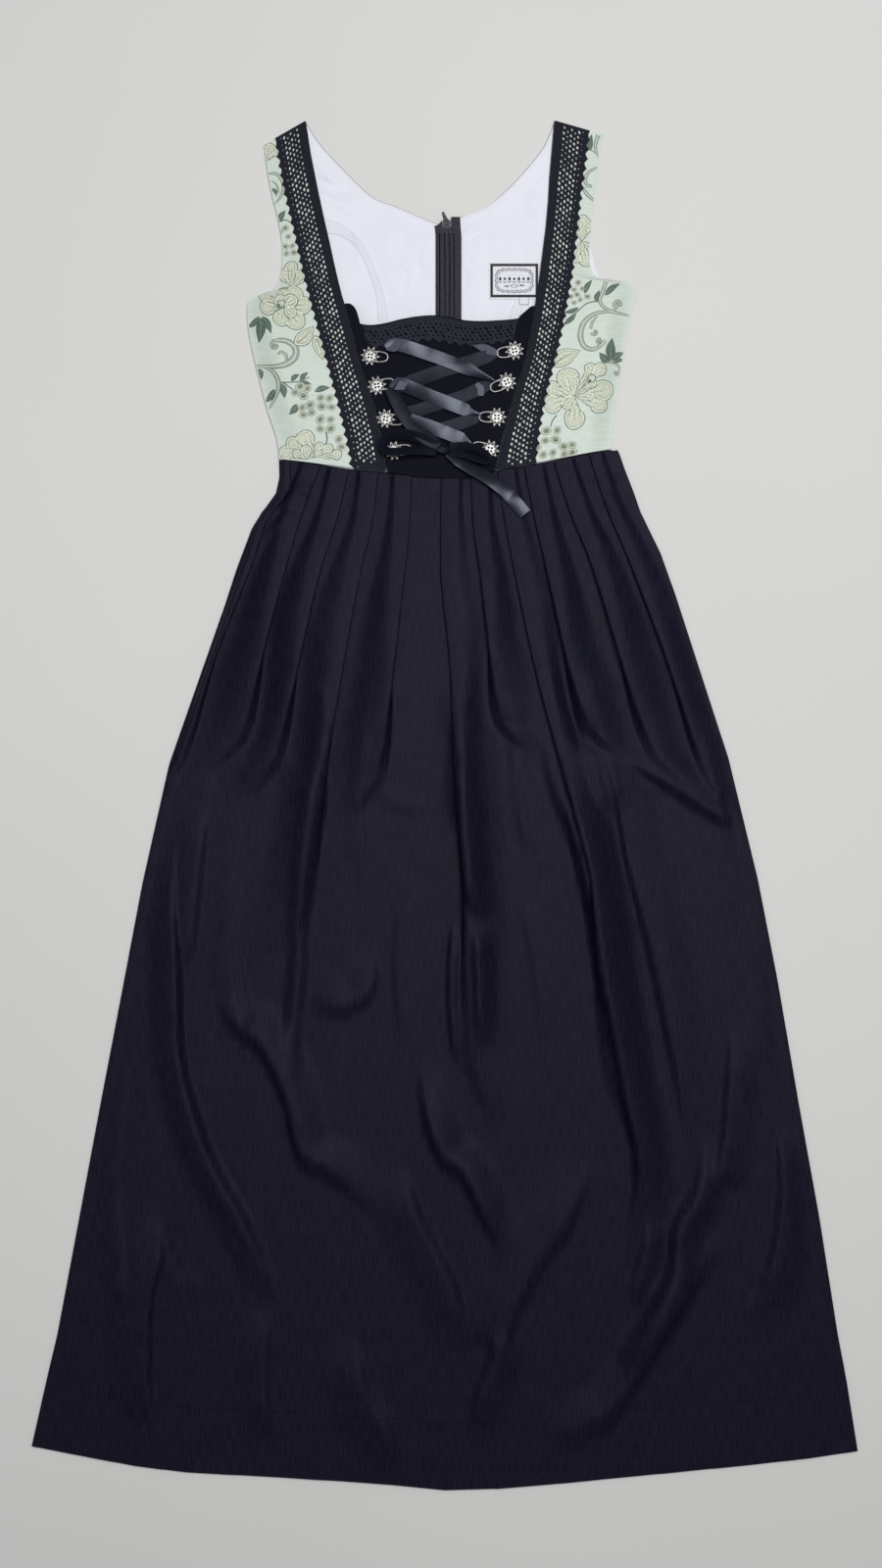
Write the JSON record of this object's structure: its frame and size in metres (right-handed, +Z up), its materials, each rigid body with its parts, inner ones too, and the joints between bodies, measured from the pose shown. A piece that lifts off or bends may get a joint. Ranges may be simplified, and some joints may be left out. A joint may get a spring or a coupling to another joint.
{
  "type": "dirndl dress",
  "caption": "Long sleeveless dirndl dress laid flat: flower brocade bodice, laced front with lace edging, lined back with zip, pleated dark skirt.",
  "frame": {"origin": "centre of the bounding box's footprint, on the surface the dress lies on (z = 0)", "axes": "+Y from hem to shoulders, +X to the viewer's right looking down on the front, +Z up out of the surface"},
  "size_m": [0.8084, 1.3389, 0.0238],
  "materials": {
    "brocade": "pale mint jacquard with raised flower motifs, soft sheen",
    "lining": "plain white cotton lining, matt",
    "cotton": "near-black navy fine cotton, faint sheen",
    "lace": "black cotton bobbin-type lace, matt",
    "satin": "black satin ribbon, lustrous",
    "silver": "silvery cast metal hooks",
    "zip_tape": "black woven zip tape, matt",
    "zip_metal": "dark grey lacquered metal",
    "label": "white woven label with a dark frame"
  },
  "bodies": {
    "dress": {"bodice_back_left": "brocade", "bodice_back_right": "brocade", "bodice_front_left": "brocade", "bodice_front_right": "brocade", "front_band_left": "cotton", "front_band_right": "cotton", "hook_left_1": "silver", "hook_left_2": "silver", "hook_left_3": "silver", "hook_left_4": "silver", "hook_right_1": "silver", "hook_right_2": "silver", "hook_right_3": "silver", "hook_right_4": "silver", "label": "label", "label_tab": "label", "lace_left": "lace", "lace_right": "lace", "lining_back_left": "lining", "lining_back_right": "lining", "plastron": "cotton", "plastron_lace": "lace", "ribbon_cross_1": "satin", "ribbon_cross_2": "satin", "ribbon_cross_3": "satin", "ribbon_cross_4": "satin", "ribbon_cross_5": "satin", "ribbon_cross_6": "satin", "ribbon_knot": "satin", "ribbon_long": "satin", "ribbon_loop_left": "satin", "ribbon_loop_right": "satin", "ribbon_tail": "satin", "skirt_back": "cotton", "skirt_front": "cotton", "zip_slider": "zip_metal", "zip_tape_left": "zip_tape", "zip_tape_right": "zip_tape"},
    "zip_pull": {"zip_pull": "zip_metal"}
  },
  "joints": [
    {"name": "zip_pull_swing", "type": "hinge", "parent": "dress", "child": "zip_pull", "pos_m": [0.0016, 0.5662, 0.00055], "axis": [-1, 0, 0], "range_deg": [0, 150]}
  ]
}
